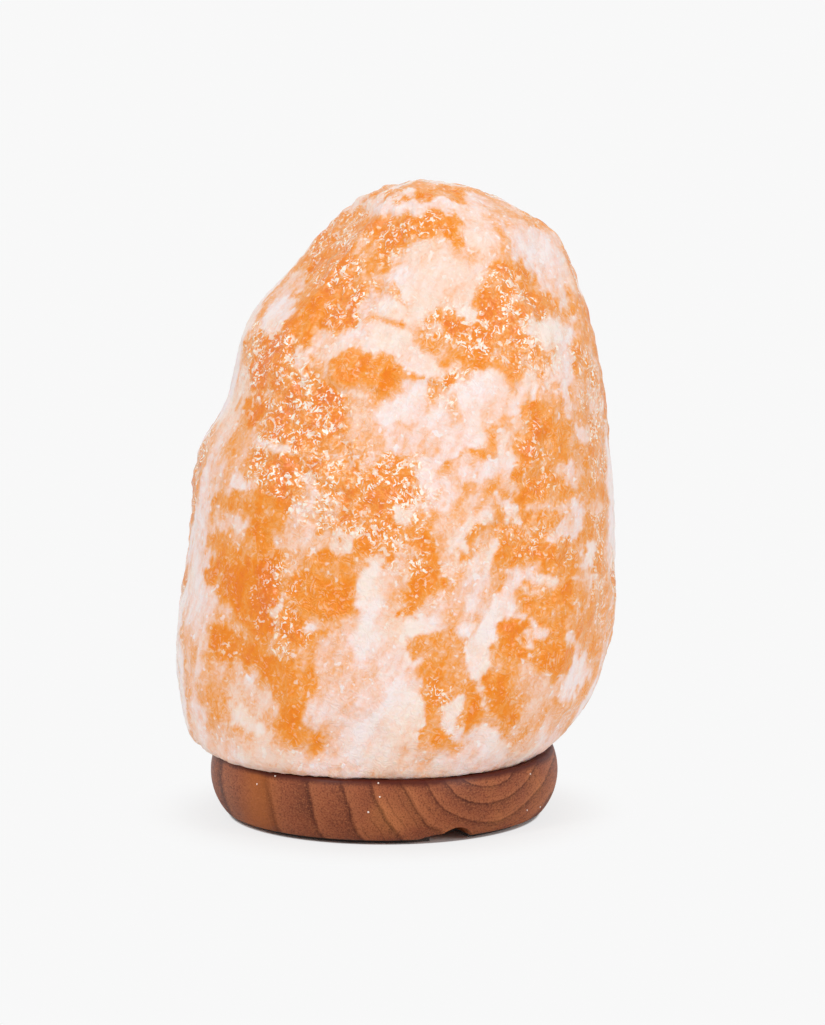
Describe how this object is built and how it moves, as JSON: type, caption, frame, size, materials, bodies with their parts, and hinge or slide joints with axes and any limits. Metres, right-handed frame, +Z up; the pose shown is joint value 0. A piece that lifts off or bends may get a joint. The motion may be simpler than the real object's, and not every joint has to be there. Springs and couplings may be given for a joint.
{
  "type": "salt crystal lamp",
  "caption": "Table lamp: a hewn block of translucent orange rock salt on a round turned wooden foot, lit from inside by a bulb in a spring-clipped holder.",
  "frame": {"origin": "on the table, on the axis of the round wooden foot", "axes": "+Z up along the foot's axis; -Y is the front seen in the picture, +X to its right"},
  "size_m": [0.1513, 0.1327, 0.219],
  "materials": {
    "rock_salt": "translucent orange rock salt with white veins, broken and washed surface",
    "oiled_hardwood": "turned reddish hardwood, oiled and lightly varnished",
    "felt": "dense black wool felt",
    "zinc_steel": "zinc plated steel",
    "spring_steel": "bright spring steel",
    "plug_plastic": "grey polyethylene",
    "holder_plastic": "moulded black phenolic",
    "carrier_plastic": "brown laminated phenolic",
    "brass": "stamped brass",
    "nickel_brass": "nickel plated brass",
    "solder": "lead free solder",
    "black_glass": "fused black glass insulator",
    "clear_glass": "clear blown glass",
    "stem_glass": "pressed clear glass",
    "cement": "baked basing cement",
    "lead_wire": "nickel and copper clad wire",
    "tungsten": "coiled tungsten wire"
  },
  "bodies": {
    "holder": {"holder_cup": "holder_plastic", "holder_cap": "holder_plastic", "contact_carrier": "carrier_plastic", "screw_shell": "brass", "centre_contact": "brass", "live_terminal": "brass", "neutral_terminal": "brass", "terminal_screws": "zinc_steel", "spring_clip": "spring_steel", "clip_rivets": "zinc_steel"},
    "lamp": {"salt_crystal": "rock_salt", "wood_base": "oiled_hardwood", "felt_ring": "felt", "base_screws": "zinc_steel", "wall_plugs": "plug_plastic"},
    "bulb_foot": {"bulb_tip_contact": "solder", "bulb_insulator": "black_glass"},
    "bulb": {"bulb_cap": "nickel_brass", "bulb_glass": "clear_glass", "basing_cement": "cement", "bulb_stem": "stem_glass", "lead_wires": "lead_wire", "filament": "tungsten", "filament_support": "lead_wire"}
  },
  "joints": [
    {"name": "lamp_lift", "type": "slide", "parent": "holder", "child": "lamp", "axis": [0, 0, 1], "range_m": [0, 0.078]},
    {"name": "bulb_rise", "type": "slide", "parent": "holder", "child": "bulb_foot", "axis": [0, 0, 1], "range_m": [0, 0.009]},
    {"name": "bulb_turn", "type": "hinge", "parent": "bulb_foot", "child": "bulb", "pos_m": [0, 0, 0.03], "axis": [0, 0, 1], "range_deg": [0, 1260]}
  ],
  "couplings": [
    {"joint": "bulb_rise", "follows": "bulb_turn", "m_per_rad": 0.00040425}
  ]
}
